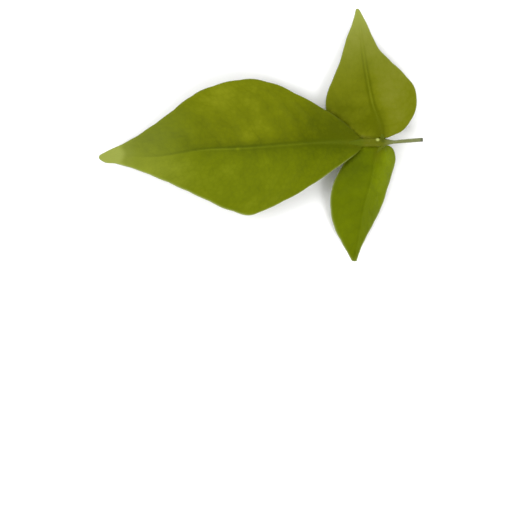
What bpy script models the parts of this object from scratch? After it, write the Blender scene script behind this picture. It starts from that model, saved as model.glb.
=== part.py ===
"""A three-parted bael leaf, picked and laid down: one stalk that carries three leaflets.

The leaf lies on the plane z = 0 with its upper face up and touches it with its three tips.
+X runs along the large terminal leaflet, from its tip towards the stalk, and the origin is on
the ground at the middle of the leaf. The left and right leaflets are those seen from the
stalk's cut end. Lengths are millimetres here and metres in the meshes.
"""

import math
from dataclasses import dataclass

import bmesh
import bpy
import numpy as np

MM = 0.001

BLADE_THICKNESS = 0.65
LEAST_LEVEL = 0.5  # the lower face follows the slope of the upper one up to 60 degrees
RIB_DEPTH = 0.55  # how far the midrib stands out below the blade at its base
BASE_SWELLING = 0.55  # added to the thickness where a leaflet joins the stalk
BASE_SWELLING_LENGTH = 1.6

VEIN_SLANT = 0.34  # how far the side veins lean towards the tip
VEIN_BOW = 0.09  # how far they bend on the way, as a share of their length
VEIN_LEAN = 0.09  # how much further along the leaflet they end, as a share of its length
QUILT_HEIGHT = 0.28  # the blade swells this much between two side veins
ROWS_PER_VEIN = 4
RIB_SHARE = 0.03  # the midrib's own half width, as a share of the half blade

# Places across each half blade, from the midrib to the margin.
ACROSS = (RIB_SHARE, 0.1, 0.26, 0.45, 0.64, 0.83, 1.0)

STALK_SIDES = 14
STALK_RINGS = 36
# x, y, z of the stalk's axis, then its radius: the cut end, the joint of the side leaflets
# with its swelling, and the short stretch that carries the terminal leaflet.
STALK_ROUTE = (
    (48.45, -1.60, 4.7, 0.58),
    (45.6, -1.82, 5.3, 0.56),
    (42.0, -2.15, 6.2, 0.54),
    (39.5, -2.36, 6.8, 0.54),
    (38.2, -2.38, 7.05, 0.80),
    (36.8, -2.40, 7.3, 1.12),
    (35.0, -2.40, 7.55, 1.15),
    (33.0, -2.42, 7.75, 1.12),
    (31.4, -2.48, 7.85, 1.05),
    (30.4, -2.55, 7.9, 0.95),
)


@dataclass
class Half:
    """One half of a blade: its margin in plan, from base to tip, and how it hangs."""

    margin: tuple
    droop: float  # how far the margin hangs below the midrib where the half is widest
    roundness: float  # 1 slopes evenly from the midrib, 2 starts level and curls down
    wave: float = 0.0  # height of the slow waves along the margin
    waves: float = 2.0
    phase: float = 0.0


@dataclass
class Leaflet:
    """rib holds x, y, z along the top of the midrib, from base to tip.

    The left and right halves are those seen from above by someone at the base.
    """

    name: str
    rib: tuple
    left: Half
    right: Half
    side_veins: int
    lobe_depth: float  # depth of the shallow round teeth along the margin
    colour: str


TERMINAL_LEAFLET = Leaflet(
    name="terminal_leaflet",
    rib=(
        (30.0, -2.6, 8.3),
        (20.7, -2.5, 8.8),
        (11.7, -3.0, 8.8),
        (2.7, -3.7, 8.4),
        (-6.3, -4.3, 7.5),
        (-18.3, -5.0, 5.8),
        (-30.3, -5.8, 3.5),
        (-39.3, -6.4, 1.7),
        (-45.0, -6.7, 0.64),
        (-48.85, -6.75, 0.6),
    ),
    left=Half(
        margin=(
            (30.0, -4.3),
            (28.8, -5.6),
            (26.7, -7.2),
            (20.7, -11.5),
            (11.7, -17.45),
            (2.7, -22.05),
            (-3.3, -24.3),
            (-9.3, -22.9),
            (-18.3, -18.85),
            (-30.3, -13.4),
            (-38.3, -10.25),
            (-41.2, -9.35),
            (-44.0, -8.65),
            (-47.0, -8.3),
            (-48.55, -7.4),
        ),
        droop=2.6,
        roundness=1.5,
        wave=0.5,
        waves=2.5,
        phase=0.6,
    ),
    right=Half(
        margin=(
            (30.0, -1.2),
            (28.6, 0.2),
            (26.7, 2.6),
            (20.7, 6.5),
            (11.7, 11.6),
            (3.9, 15.25),
            (-2.6, 16.65),
            (-9.3, 16.0),
            (-18.3, 13.1),
            (-30.3, 4.5),
            (-38.7, -1.1),
            (-42.8, -3.25),
            (-46.3, -4.8),
            (-48.6, -6.1),
        ),
        droop=3.2,
        roundness=1.4,
        wave=0.5,
        waves=2.0,
        phase=2.2,
    ),
    side_veins=11,
    lobe_depth=0.16,
    colour="#737A14",
)

RIGHT_LEAFLET = Leaflet(
    name="right_leaflet",
    rib=(
        (36.1, -0.75, 7.7),
        (35.3, 3.4, 8.1),
        (33.6, 8.2, 8.1),
        (32.4, 13.6, 7.45),
        (31.3, 20.2, 5.9),
        (30.4, 27.0, 3.6),
        (29.7, 33.5, 1.3),
        (29.3, 36.0, 0.64),
        (29.0, 38.0, 0.6),
    ),
    left=Half(
        margin=(
            (35.4, -0.9),
            (31.4, -0.95),
            (26.7, 0.0),
            (22.6, 2.3),
            (20.0, 5.6),
            (19.3, 8.9),
            (20.2, 13.4),
            (22.2, 18.2),
            (24.0, 23.0),
            (25.5, 28.4),
            (27.6, 34.0),
            (28.6, 37.9),
        ),
        droop=3.3,
        roundness=1.3,
        wave=0.3,
        waves=1.5,
        phase=0.0,
    ),
    right=Half(
        margin=(
            (36.9, -0.9),
            (39.3, -0.5),
            (42.0, 0.8),
            (44.6, 3.6),
            (46.3, 7.2),
            (46.75, 10.8),
            (46.0, 14.2),
            (42.8, 18.3),
            (38.9, 22.1),
            (35.5, 25.7),
            (33.35, 29.9),
            (31.6, 34.0),
            (29.5, 37.9),
        ),
        droop=2.6,
        roundness=1.6,
        wave=0.4,
        waves=2.0,
        phase=1.0,
    ),
    side_veins=7,
    lobe_depth=0.1,
    colour="#7A821C",
)

LEFT_LEAFLET = Leaflet(
    name="left_leaflet",
    rib=(
        (35.7, -3.93, 7.6),
        (34.4, -7.2, 8.15),
        (33.75, -10.6, 8.4),
        (33.0, -14.4, 8.25),
        (31.75, -18.7, 7.45),
        (30.6, -23.4, 6.0),
        (29.65, -29.3, 3.5),
        (28.6, -35.2, 1.05),
        (28.1, -38.0, 0.6),
    ),
    left=Half(
        margin=(
            (36.5, -3.75),
            (38.7, -3.8),
            (40.0, -4.8),
            (40.45, -7.0),
            (40.0, -9.7),
            (39.1, -12.7),
            (37.9, -16.5),
            (36.5, -21.0),
            (34.2, -26.0),
            (31.95, -30.2),
            (30.05, -34.2),
            (28.8, -37.9),
        ),
        droop=6.2,
        roundness=1.5,
        wave=0.5,
        waves=3.0,
        phase=0.4,
    ),
    right=Half(
        margin=(
            (34.9, -3.93),
            (31.8, -4.15),
            (28.5, -5.0),
            (26.0, -6.9),
            (24.2, -9.6),
            (22.4, -13.0),
            (21.1, -16.6),
            (20.75, -20.2),
            (21.1, -24.6),
            (22.3, -28.6),
            (24.2, -32.2),
            (26.0, -35.4),
            (27.4, -37.9),
        ),
        droop=2.7,
        roundness=1.2,
        wave=0.4,
        waves=1.5,
        phase=2.6,
    ),
    side_veins=7,
    lobe_depth=0.1,
    colour="#707C10",
)

STALK_COLOUR = "#878E5A"


def smooth_curve(points, shares):
    """Points on a smooth curve through the given ones, at shares of its length."""
    points = np.array(points, float)
    plan = points[:, :2]
    knots = np.concatenate(([0.0], np.cumsum(np.linalg.norm(np.diff(plan, axis=0), axis=1))))
    slopes = np.gradient(points, knots, axis=0, edge_order=2)
    at = np.clip(np.asarray(shares, float), 0.0, 1.0) * knots[-1]
    span = np.clip(np.searchsorted(knots, at, side="right") - 1, 0, len(knots) - 2)
    gap = (knots[span + 1] - knots[span])[:, None]
    u = (at - knots[span])[:, None] / gap
    start = (1 + 2 * u) * (1 - u) ** 2 * points[span] + u * (1 - u) ** 2 * gap * slopes[span]
    end = u * u * (3 - 2 * u) * points[span + 1] - u * u * (1 - u) * gap * slopes[span + 1]
    return start + end


def margin_shares(rib_shares):
    """A side vein that leaves the midrib at one share meets the margin further on."""
    return rib_shares + VEIN_SLANT * rib_shares * (1 - rib_shares)


def half_surface(leaflet, half, sign, shares, vein_offset):
    """Rows of points from the midrib out to the margin of one half blade."""
    rib = smooth_curve(leaflet.rib, shares)
    margin = smooth_curve(half.margin, margin_shares(shares))
    out = margin - rib[:, :2]
    width = np.linalg.norm(out, axis=1)
    relative = width / width.max()
    heading = np.gradient(rib[:, :2], axis=0)
    heading /= np.linalg.norm(heading, axis=1)[:, None]
    edge = np.gradient(margin, axis=0)
    edge /= np.linalg.norm(edge, axis=1)[:, None]
    outward = sign * np.stack((-edge[:, 1], edge[:, 0]), axis=1)

    def between_veins(w):
        """0 on each side vein and 1 midway between two, along the line at w."""
        counted = (shares - VEIN_LEAN * w) * (leaflet.side_veins + 1) + vein_offset
        return np.sin(math.pi * counted) ** 2

    lobes = (np.sqrt(between_veins(1.0)) - 1) * leaflet.lobe_depth * np.minimum(1, relative * 2)
    fade = np.sqrt(np.sin(math.pi * shares))  # the first and last rows are straight
    columns = []
    for w in ACROSS:
        bow = -VEIN_BOW * 4 * w * (1 - w) * (width * fade)[:, None] * heading
        tooth = lobes[:, None] * outward * w**8
        plan = rib[:, :2] + out * w + bow + tooth
        hang = half.droop * relative * w**half.roundness
        wave = half.wave * relative * w**3 * np.sin(2 * math.pi * half.waves * shares + half.phase)
        quilt = QUILT_HEIGHT * between_veins(w) * relative * math.sin(math.pi * w**0.7)
        columns.append(np.column_stack((plan, rib[:, 2] - hang + wave + quilt)))
    return columns


def blade_layers(leaflet):
    """The blade's upper and lower faces as two grids of points, rows by columns."""
    rows = (leaflet.side_veins + 1) * ROWS_PER_VEIN
    shares = np.linspace(0.0, 1.0, rows + 1)
    left = half_surface(leaflet, leaflet.left, 1, shares, 0.0)
    right = half_surface(leaflet, leaflet.right, -1, shares, 0.5)
    top = np.stack(left[::-1] + [smooth_curve(leaflet.rib, shares)] + right, axis=1)

    # The lower face lies straight below the upper one, further down where the blade is steep,
    # so that the blade is about as thick everywhere.
    normals = np.cross(np.gradient(top, axis=1), np.gradient(top, axis=0))
    level = np.abs(normals[:, :, 2]) / np.linalg.norm(normals, axis=2)
    level[0], level[-1] = level[1], level[-2]
    level = np.maximum(level, LEAST_LEVEL)

    shares_across = np.array(ACROSS[::-1] + (0.0,) + ACROSS)
    rib_form = np.exp(-((shares_across / (2 * RIB_SHARE)) ** 2))
    rib = leaflet.rib
    from_base = np.linalg.norm(top[:, len(ACROSS)] - np.array(rib[0]), axis=1)
    swelling = BASE_SWELLING * np.exp(-((from_base / BASE_SWELLING_LENGTH) ** 2))
    ribbing = RIB_DEPTH * (1 - shares)
    bottom = top.copy()
    bottom[:, :, 2] -= BLADE_THICKNESS / level + swelling[:, None] + ribbing[:, None] * rib_form

    # The tip lies flat on the ground.
    bottom[:, :, 2] = np.maximum(bottom[:, :, 2], 0.0)
    top[:, :, 2] = np.maximum(top[:, :, 2], BLADE_THICKNESS)
    return top, bottom


def srgb(code):
    """A hex colour as linear red, green, blue and alpha."""
    values = [int(code[i : i + 2], 16) / 255 for i in (1, 3, 5)]
    return [v / 12.92 if v <= 0.04045 else ((v + 0.055) / 1.055) ** 2.4 for v in values] + [1.0]


def plain_material(name, colour, roughness):
    material = bpy.data.materials.new(name)
    material.use_nodes = True
    shader = material.node_tree.nodes["Principled BSDF"]
    shader.inputs["Base Color"].default_value = srgb(colour)
    shader.inputs["Roughness"].default_value = roughness
    shader.inputs["Metallic"].default_value = 0.0
    return material


def add_object(name, shape, material, sharp_angle):
    """Turns a bmesh in millimetres into a named object in metres."""
    bmesh.ops.scale(shape, vec=(MM, MM, MM), verts=shape.verts)
    mesh = bpy.data.meshes.new(name)
    shape.to_mesh(mesh)
    shape.free()
    mesh.shade_smooth()
    mesh.set_sharp_from_angle(angle=sharp_angle)
    mesh.materials.append(material)
    made = bpy.data.objects.new(name, mesh)
    bpy.context.scene.collection.objects.link(made)
    return made


def add_leaflet(leaflet):
    """A closed thin blade whose two faces are split into triangles alike."""
    top, bottom = blade_layers(leaflet)
    rows, columns = top.shape[:2]
    shape = bmesh.new()
    upper = [[shape.verts.new(p) for p in row] for row in top]
    lower = [[shape.verts.new(p) for p in row] for row in bottom]
    middle = len(ACROSS)
    for i in range(rows - 1):
        for j in range(columns - 1):
            # The diagonals lean the same way from the midrib on both halves.
            ring = [(i, j), (i, j + 1), (i + 1, j + 1), (i + 1, j)]
            if j < middle:
                ring = ring[1:] + ring[:1]
            for a, b, c in ((0, 1, 2), (0, 2, 3)):
                corners = [ring[a], ring[b], ring[c]]
                shape.faces.new([upper[r][k] for r, k in corners])
                shape.faces.new([lower[r][k] for r, k in reversed(corners)])
    border = [(0, j) for j in range(columns)]
    border += [(i, columns - 1) for i in range(1, rows)]
    border += [(rows - 1, j) for j in range(columns - 2, -1, -1)]
    border += [(i, 0) for i in range(rows - 2, 0, -1)]
    for (r, k), (s, m) in zip(border, border[1:] + border[:1]):
        shape.faces.new((lower[r][k], lower[s][m], upper[s][m]))
        shape.faces.new((lower[r][k], upper[s][m], upper[r][k]))
    material = plain_material(leaflet.name, leaflet.colour, 0.45)
    return add_object(leaflet.name, shape, material, math.radians(50))


def add_stalk():
    """A round stalk of changing thickness, with its cut end and its leaflet end closed."""
    route = smooth_curve(STALK_ROUTE, np.linspace(0.0, 1.0, STALK_RINGS))
    axis, radius = route[:, :3], route[:, 3]
    heading = np.gradient(axis, axis=0)
    heading /= np.linalg.norm(heading, axis=1)[:, None]
    side = np.cross(heading, (0.0, 0.0, 1.0))
    side /= np.linalg.norm(side, axis=1)[:, None]
    up = np.cross(side, heading)
    shape = bmesh.new()
    rings = []
    for centre, r, s, u in zip(axis, radius, side, up):
        turns = [2 * math.pi * k / STALK_SIDES for k in range(STALK_SIDES)]
        rings.append([shape.verts.new(centre + r * (math.cos(a) * s + math.sin(a) * u)) for a in turns])
    for near, far in zip(rings, rings[1:]):
        for k in range(STALK_SIDES):
            n = (k + 1) % STALK_SIDES
            shape.faces.new((near[k], near[n], far[n], far[k]))
    shape.faces.new(rings[0][::-1])
    shape.faces.new(rings[-1])
    bmesh.ops.recalc_face_normals(shape, faces=shape.faces)
    return add_object("stalk", shape, plain_material("stalk", STALK_COLOUR, 0.6), math.radians(50))


def main():
    for old in list(bpy.data.objects):
        bpy.data.objects.remove(old, do_unlink=True)
    add_stalk()
    for leaflet in (TERMINAL_LEAFLET, RIGHT_LEAFLET, LEFT_LEAFLET):
        add_leaflet(leaflet)


main()
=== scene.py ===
import math
from dataclasses import dataclass

import bpy
import numpy as np
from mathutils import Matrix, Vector, kdtree, noise


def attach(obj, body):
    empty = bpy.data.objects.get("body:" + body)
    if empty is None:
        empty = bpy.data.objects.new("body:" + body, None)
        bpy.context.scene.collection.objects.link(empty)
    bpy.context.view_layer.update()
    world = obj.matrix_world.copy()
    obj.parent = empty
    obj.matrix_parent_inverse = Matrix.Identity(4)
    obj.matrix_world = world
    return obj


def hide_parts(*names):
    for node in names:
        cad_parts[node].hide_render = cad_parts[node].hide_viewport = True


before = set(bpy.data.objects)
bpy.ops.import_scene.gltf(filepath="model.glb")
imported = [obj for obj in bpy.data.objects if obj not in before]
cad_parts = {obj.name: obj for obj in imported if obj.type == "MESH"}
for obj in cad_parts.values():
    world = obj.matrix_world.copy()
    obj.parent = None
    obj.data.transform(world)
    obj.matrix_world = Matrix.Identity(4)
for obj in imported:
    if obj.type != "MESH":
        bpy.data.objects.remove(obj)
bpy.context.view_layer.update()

# A fresh three-parted bael leaf lies face up on a pale table. Lengths are millimetres, and
# MM turns them into the metres of the meshes.
MM = 0.001

# The photograph: 511 pixels a side, 0.30 mm to a pixel, taken from straight above.
PHOTO_SIDE_PX = 511
MM_PER_PX = 0.30
LEAF_CENTRE_PX = (261.0, 134.5)

# The blade as it grew: thin and leathery, with its midrib standing out below. It lies within
# the thicker solid blade. Its rim is round, and thins out by a share of itself.
SOLID_THICKNESS = 0.65
BLADE_THICKNESS = 0.36
RIM_ROUNDING = 0.22
RIM_THINNING = 0.95
RIB_DEPTH = 0.55
BASE_SWELLING = 0.55
BASE_SWELLING_LENGTH = 1.6

# How the side veins run, as in the solid leaf.
VEIN_SLANT = 0.34
VEIN_BOW = 0.09
VEIN_LEAN = 0.09
QUILT_HEIGHT = 0.28

# How uneven they are. Places and wriggles are shares of the way to the next vein. Strengths
# are those of the side veins and of the finer ones between them, and the tones between two
# side veins are how strong the painted light is on the blade's swellings there.
VEIN_UNEVENNESS = 0.16
VEIN_WRIGGLE, WRIGGLES_ACROSS, WRIGGLES_ALONG = 0.05, 2.1, 5.3
VEIN_STRENGTHS, MIDDLE_STRENGTHS = (0.75, 1.1), (0.0, 0.55)
SWELL_LIGHT_TONES = (0.55, 1.0)

# How they swing forward, as shares of the way to the next vein, and where they hook, thin
# out and end, as shares of the way from the midrib to the margin.
VEIN_SWEEP, VEIN_HOOK, VEIN_HOOK_START = 0.12, 0.95, 0.7
VEIN_THINNING, VEIN_END, MIDDLE_END = 0.62, (0.86, 0.97), (0.4, 0.62)

# Where the blade is narrower than these shares of its greatest width, veins and net fade.
VEIN_NARROWS, NET_NARROWS = (0.05, 0.25), (0.1, 0.35)

# Rows cross the blade at a slant, so a distance along one is longer than the shortest way.
SQUARE_SHARE = 0.8

# The power by which the lobes grow towards the margin, and where the margin rises beside the
# stalk, as shares of the leaflet's length.
LOBE_SHARPNESS = 8
BASE_LIFT_PLACE, BASE_LIFT_LENGTH = 0.08, 0.12

# Relief of the upper and lower faces, in millimetres. The net and the puckers start where the
# blade lies open, some way from the midrib and from the margin.
GUTTER_DEPTH, GUTTER_WIDTH = 0.20, 0.80
RIB_LINE_HEIGHT, RIB_LINE_WIDTH = 0.15, 0.22
VEIN_GROOVE, VEIN_GROOVE_WIDTH = 0.045, 0.34
MIDDLE_GROOVE_WIDTH = 0.7 * VEIN_GROOVE_WIDTH
VEIN_CORD, VEIN_CORD_WIDTH = 0.13, 0.26
NET_GROOVE, NET_CORD = 0.015, 0.035
NET_CELL = 1.7
PUCKER_HEIGHT, PUCKER_LENGTH = 0.22, 8.0
FINE_PUCKER_HEIGHT, FINE_PUCKER_LENGTH = 0.05, 2.6
OPEN_FROM_RIB, OPEN_FROM_MARGIN = (0.3, 1.6), (0.0, 1.2)

# The midrib: how it narrows, where its channel starts, in millimetres from the base, and how
# far and where that fades, as shares of the length. Its cord hangs below the blade.
RIB_TAPER = 0.55
CHANNEL_START = (0.5, 6.0)
CHANNEL_FADE, CHANNEL_END = 0.85, (0.4, 0.72)
RIB_WIDTH, RIB_NARROWING = 0.75, 0.4
RIB_HANG_WIDTH = 1.3

# Where colours lie: millimetres from the midrib, the margin or the base, and for the ends of
# the warm green and of the midrib's flare, shares of the length. The edge of the tip's painted
# backlight slants with the veins and waves a little. The dark beside the midrib is painted
# shade, and the pale rim is a painted highlight.
WARM_START, WARM_END = (0.0, 2.0), (0.5, 0.75)
TIP_EDGE_SLANT, TIP_EDGE_WAVE, TIP_EDGE_TURNS = 0.8 * VEIN_SLANT, 0.006, 1.1
LINE_WIDTH, LINE_SOFTNESS = 0.22, 0.05
LINE_FLARE, LINE_FLARE_END = 0.4, (0.0, 0.22)
CORD_WIDTH, CORD_SOFTNESS = 0.55, 0.1
SHADE_PLACE, NARROW_SHADE, BROAD_SHADE = 0.75, 0.4, 3.0
TAN_STRENGTH, TAN_WIDTH, TAN_END = 0.75, 1.3, (1.0, 7.0)
RIM_WIDTH, RIM_START = 0.24, (1.5, 9.0)

# Finishes. Each pair of roughness goes with the range that most of a noise's values fill.
LEAF_IOR, WOOD_IOR = 1.45, 1.5
WAX_SHINE, STALK_SHINE = 0.045, 0.08
NOISE_RANGE = (0.3, 0.7)
WAX_ROUGHNESS, UNDERSIDE_ROUGHNESS, STALK_ROUGHNESS = (0.42, 0.52), (0.6, 0.7), (0.5, 0.65)
WOOD_ROUGHNESS, LAMINATE_ROUGHNESS = 0.85, 0.9
LIGHT_THROUGH = 0.22
LIT_TISSUE = "#818F10"
TAN_GREEN = "#585D02"

# The warm filter multiplies the tissue's linear colour. A leaflet's greens run from level 0 to
# level 1, and each mark of the mesh moves the level by its weight.
WARM_FILTER = (1.08, 1.01, 1.0, 1.0)
PLAIN_LEVEL = 0.40
# The paleness between side veins is painted light on the swellings, the dark along the sunk side
# veins and beside the midrib is painted shade, and the patches mix the tissue's own tone with some
# painted light and shade.
LEVEL_BY_MARK = (
    ("patches", 1.0),
    ("swell_light", 0.15),
    ("vein_groove_shade", -0.05),
    ("fine_net", -0.07),
    ("rib_shade", -1.0),
)
MIDDLE_GREENS = (0.42, 0.76)

# Sizes of the patterns in millimetres. The finest net of veins has meshes of about half a
# millimetre. Oil glands are 0.1 mm dots; they are drawn a little larger, so that they show.
CLOUD_SIZE, MOTTLE_SIZE, UNDERSIDE_CLOUD_SIZE = 11.0, 2.4, 6.0
UPPER_FINE_MESH, LOWER_FINE_MESH = 0.55, 0.6
GLAND_SPACING = 0.9
FIBRE_WIDTH, FIBRE_STRETCH, SPOT_SIZE = 0.35, 0.12, 1.1
WOOD_GRAIN = 0.18


@dataclass
class Half:
    """One half of a blade: its margin in plan, from base to tip, and how it hangs.

    Droop is how far the margin hangs below the midrib, and roundness how late it does so on
    its way out. Wave is the height of the margin's ripple, waves their number and phase where
    they start. Relief is how strongly the side veins show, rim how strong the painted highlight
    along the thin edge is, warmth how far the green turns to yellow, and base lift how far the
    margin rises where it lies against the stalk.
    """

    margin: tuple
    droop: float
    roundness: float
    wave: float
    waves: float
    phase: float
    relief: float
    rim_highlight: float
    warmth: float = 0.0
    base_lift: float = 0.0


@dataclass
class Leaflet:
    """One blade. Rib holds x, y, z along the top of the midrib, from base to tip.

    The left and right halves are those seen from above by someone at the base. Each patch is
    a soft paler place, or a darker one if its strength is below 0: x, y, reach and strength.
    Some are the tissue's own uneven tone, and some are painted light and painted shade, each
    marked where it stands. Tissue holds the leaflet's greens, from its darkest places to its
    palest. Pale tip holds the painted backlight near the tip, light through the thin blade
    painted as paler green, in soft steps: where each starts and ends, and how pale it makes
    the blade. Each row of rib look is a share of the length, how pale the midrib's line is
    there, and how much painted shade darkens the channel to its left and to its right. Shade
    spread is how much of that painted shade runs out softly over the blade.
    """

    name: str
    rib: tuple
    left: Half
    right: Half
    side_veins: int
    lobe_depth: float
    patches: tuple
    tissue: tuple
    tip_backlight: tuple
    rib_look: tuple
    rib_relief: float
    shade_spread: float
    rows: int
    half_columns: int
    seed: int


TERMINAL = Leaflet(
    name="terminal",
    rib=(
        (30.0, -2.6, 8.3),
        (20.7, -2.5, 8.8),
        (11.7, -3.0, 8.8),
        (2.7, -3.7, 8.4),
        (-6.3, -4.3, 7.5),
        (-18.3, -4.85, 5.8),
        (-24.5, -5.8, 4.7),
        (-30.3, -6.6, 3.5),
        (-34.5, -6.75, 2.65),
        (-39.3, -6.5, 1.7),
        (-45.0, -6.7, 0.64),
        (-48.85, -6.75, 0.6),
    ),
    left=Half(
        margin=(
            (30.0, -4.3),
            (28.8, -5.6),
            (26.7, -7.2),
            (20.7, -11.5),
            (11.7, -17.45),
            (2.7, -22.05),
            (-3.3, -24.3),
            (-9.3, -22.9),
            (-18.3, -18.85),
            (-30.3, -13.4),
            (-38.3, -10.25),
            (-41.2, -9.35),
            (-44.0, -8.65),
            (-47.0, -8.3),
            (-48.55, -7.4),
        ),
        droop=2.6,
        roundness=1.5,
        wave=0.5,
        waves=2.5,
        phase=0.6,
        relief=0.45,
        rim_highlight=0.9,
    ),
    right=Half(
        margin=(
            (30.0, -1.2),
            (28.5, 0.1),
            (26.3, 2.3),
            (20.7, 6.4),
            (11.7, 11.6),
            (3.9, 15.25),
            (-2.6, 16.65),
            (-9.3, 16.0),
            (-18.3, 13.1),
            (-30.3, 4.5),
            (-38.7, -1.1),
            (-42.8, -3.25),
            (-46.3, -4.8),
            (-48.6, -6.1),
        ),
        droop=3.2,
        roundness=1.4,
        wave=0.5,
        waves=2.0,
        phase=2.2,
        relief=0.9,
        rim_highlight=0.1,
        warmth=1.0,
    ),
    side_veins=11,
    lobe_depth=0.16,
    patches=(
        # These two are painted shade, darkening the blade towards its base.
        (25.5, 2.0, 9.0, -0.45),
        (12.0, 0.0, 9.0, -0.12),
        # A painted highlight on the upper half.
        (-12.5, 11.0, 5.0, 0.24),
        (0.5, 8.0, 5.0, -0.08),
        (-2.7, 0.8, 3.4, 0.13),
        (4.5, 12.8, 3.0, -0.08),
        (18.5, 3.0, 3.5, -0.08),
        (-20.0, 2.0, 10.0, -0.10),
        (-34.0, -2.5, 5.0, -0.14),
        (-21.0, -13.0, 7.0, 0.14),
        (-5.0, -21.5, 5.0, 0.14),
        (15.0, -11.0, 7.0, -0.10),
        (-32.0, -9.5, 6.5, 0.32),
        # Painted shade beside the midrib, on the upper half.
        (-29.0, -2.5, 6.0, -0.12),
        (-39.5, -3.8, 2.6, -0.12),
        (-13.0, -7.0, 3.2, 0.08),
        (-42.0, -6.5, 4.5, 0.10),
        (-6.9, -4.45, 0.55, 0.35),
    ),
    tissue=("#4D5800", "#697401", "#828C15", "#9AA146"),
    tip_backlight=((0.15, 0.45, 0.02), (0.60, 0.88, 0.20), (0.85, 0.89, 0.12), (0.893, 0.925, 0.50)),
    rib_look=(
        (0.00, 0.12, 0.03, 0.12),
        (0.12, 0.13, 0.12, 0.16),
        (0.27, 0.11, 0.21, 0.30),
        (0.42, 0.18, 0.23, 0.39),
        (0.50, 0.30, 0.16, 0.37),
        (0.57, 0.32, 0.14, 0.32),
        (0.64, 0.14, 0.02, 0.28),
        (0.75, 0.00, 0.00, 0.25),
        (0.86, 0.00, 0.00, 0.08),
    ),
    rib_relief=0.8,
    shade_spread=0.65,
    rows=350,
    half_columns=66,
    seed=11,
)

RIGHT = Leaflet(
    name="right",
    rib=(
        (36.1, -0.75, 7.7),
        (35.3, 3.4, 8.1),
        (33.6, 8.2, 8.1),
        (32.4, 13.6, 7.45),
        (31.3, 20.2, 5.9),
        (30.4, 27.0, 3.6),
        (29.7, 33.5, 1.3),
        (29.3, 36.0, 0.64),
        (29.0, 38.0, 0.6),
    ),
    left=Half(
        margin=(
            (35.4, -1.3),
            (31.2, -2.0),
            (26.7, 0.0),
            (22.6, 2.3),
            (20.0, 5.6),
            (19.3, 8.9),
            (20.2, 13.4),
            (22.2, 18.2),
            (24.0, 23.0),
            (25.5, 28.4),
            (27.6, 34.0),
            (28.6, 37.9),
        ),
        droop=3.3,
        roundness=1.3,
        wave=0.3,
        waves=1.5,
        phase=0.0,
        relief=0.7,
        rim_highlight=0.2,
        base_lift=0.9,
    ),
    right=Half(
        margin=(
            (36.9, -1.25),
            (38.1, -1.0),
            (39.4, -0.45),
            (42.0, 0.8),
            (44.6, 3.6),
            (46.3, 7.2),
            (46.75, 10.8),
            (46.0, 14.2),
            (42.8, 18.3),
            (38.9, 22.1),
            (35.5, 25.7),
            (33.35, 29.9),
            (31.6, 34.0),
            (29.5, 37.9),
        ),
        droop=2.6,
        roundness=1.6,
        wave=0.4,
        waves=2.0,
        phase=1.0,
        relief=0.7,
        rim_highlight=0.3,
    ),
    side_veins=7,
    lobe_depth=0.1,
    patches=(
        (25.0, 6.0, 6.0, -0.40),
        (32.0, 2.0, 4.5, -0.25),
        # These six are painted light, lifting the shade in the crease along the stalk and under the
        # terminal leaflet's edge.
        (32.3, -1.2, 1.4, 0.40),
        (30.2, -0.7, 1.0, 0.45),
        (28.3, 0.6, 0.6, 0.36),
        (27.0, 1.9, 0.6, 0.34),
        (24.2, 4.3, 0.7, 0.35),
        (21.4, 6.6, 0.8, 0.45),
        # These two are painted shade in the channel beside the midrib, near the base.
        (34.8, 5.5, 3.0, -0.22),
        (36.0, 1.5, 2.4, -0.15),
        (38.6, 1.4, 2.0, 0.10),
        # Painted light on the right half, which faces the light.
        (40.5, 15.0, 8.0, 0.26),
        (41.5, 4.0, 3.5, 0.08),
        (29.5, 30.0, 7.0, 0.45),
    ),
    tissue=("#5C6300", "#71770C", "#7E8226", "#8D934A"),
    tip_backlight=((0.43, 0.88, 0.22), (0.77, 1.0, 0.60)),
    rib_look=(
        (0.00, 0.00, 0.60, 0.44),
        (0.15, 0.14, 0.55, 0.48),
        (0.35, 0.14, 0.40, 0.44),
        (0.60, 0.12, 0.36, 0.34),
        (0.90, 0.00, 0.14, 0.14),
    ),
    rib_relief=0.65,
    shade_spread=0.3,
    rows=230,
    half_columns=54,
    seed=23,
)

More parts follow.
